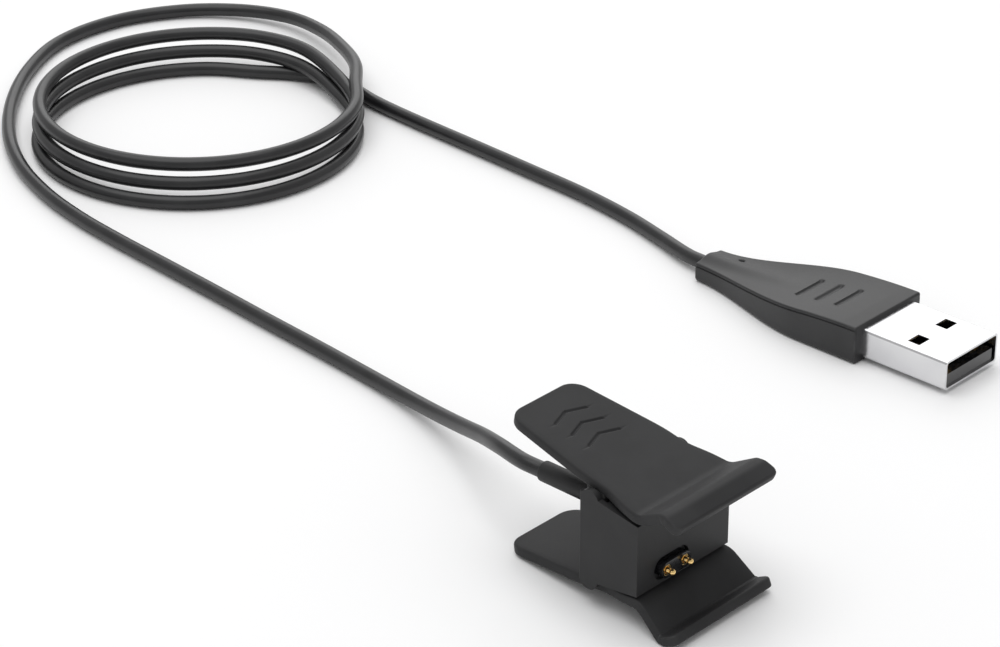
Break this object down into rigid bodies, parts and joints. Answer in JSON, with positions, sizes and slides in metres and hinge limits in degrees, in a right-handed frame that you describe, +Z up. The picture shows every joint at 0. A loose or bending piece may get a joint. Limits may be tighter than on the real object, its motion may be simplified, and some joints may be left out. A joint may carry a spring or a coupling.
{
  "type": "tracker charging cable",
  "caption": "Spring clip with sprung contact pins on a coiled cord that ends in a USB-A plug, for charging a slim wrist tracker.",
  "frame": {"origin": "middle of the clip's footprint on the table: the clip's centre in X and Y, at the level its lower jaw rests on", "axes": "+Z up; the clip lies along Y, its contact face and hooks toward -Y, its handles and cord toward +Y; +X is to the right of someone who faces +Y"},
  "size_m": [0.104, 0.1969, 0.0204],
  "materials": {
    "housing_plastic": "fine satin texture",
    "jaw_plastic": "fine satin texture",
    "carrier_plastic": "glossy black",
    "board": "green solder mask",
    "gold_plate": "bright gold plate",
    "spring_steel": "drawn wire",
    "plug_steel": "bright nickel plate",
    "cord_jacket": "smooth satin jacket",
    "mould_rubber": "satin moulding",
    "wire_red": "insulated wire",
    "wire_black": "insulated wire"
  },
  "bodies": {
    "core": {"core_housing": "housing_plastic", "core_rear_cover": "housing_plastic", "contact_carrier": "carrier_plastic", "contact_board": "board", "pin_barrel_left": "gold_plate", "pin_barrel_right": "gold_plate", "pin_spring_left": "spring_steel", "pin_spring_right": "spring_steel", "strain_relief": "cord_jacket", "wire_power": "wire_red", "wire_return": "wire_black", "upper_pivot_pin": "spring_steel", "lower_pivot_pin": "spring_steel", "cord_clip_run": "cord_jacket", "cord_coil": "cord_jacket", "cord_plug_run": "cord_jacket", "plug_mould": "mould_rubber", "plug_core_block": "carrier_plastic", "plug_shell": "plug_steel", "plug_tongue": "carrier_plastic", "plug_contact_1": "gold_plate", "plug_contact_2": "gold_plate", "plug_contact_3": "gold_plate", "plug_contact_4": "gold_plate"},
    "upper_jaw": {"upper_jaw": "jaw_plastic", "upper_spring": "spring_steel"},
    "lower_jaw": {"lower_jaw": "jaw_plastic", "lower_spring": "spring_steel"},
    "left_pin": {"pin_plunger_left": "gold_plate"},
    "right_pin": {"pin_plunger_right": "gold_plate"}
  },
  "joints": [
    {"name": "upper_jaw_hinge", "type": "hinge", "parent": "core", "child": "upper_jaw", "pos_m": [0, -0.0005, 0.0145], "axis": [-1, 0, 0], "range_deg": [0, 15], "stiffness_Nm_per_rad": 0.04, "springref_deg": -51.57},
    {"name": "lower_jaw_hinge", "type": "hinge", "parent": "core", "child": "lower_jaw", "pos_m": [0, -0.0005, 0.0049], "axis": [1, 0, 0], "range_deg": [0, 15], "stiffness_Nm_per_rad": 0.04, "springref_deg": -51.57},
    {"name": "left_pin_slide", "type": "slide", "parent": "core", "child": "left_pin", "axis": [0, 1, 0], "range_m": [0, 0.00075], "stiffness_N_per_m": 200, "springref_m": -0.001, "deforming": ["pin_spring_left"]},
    {"name": "right_pin_slide", "type": "slide", "parent": "core", "child": "right_pin", "axis": [0, 1, 0], "range_m": [0, 0.00075], "stiffness_N_per_m": 200, "springref_m": -0.001, "deforming": ["pin_spring_right"]}
  ]
}
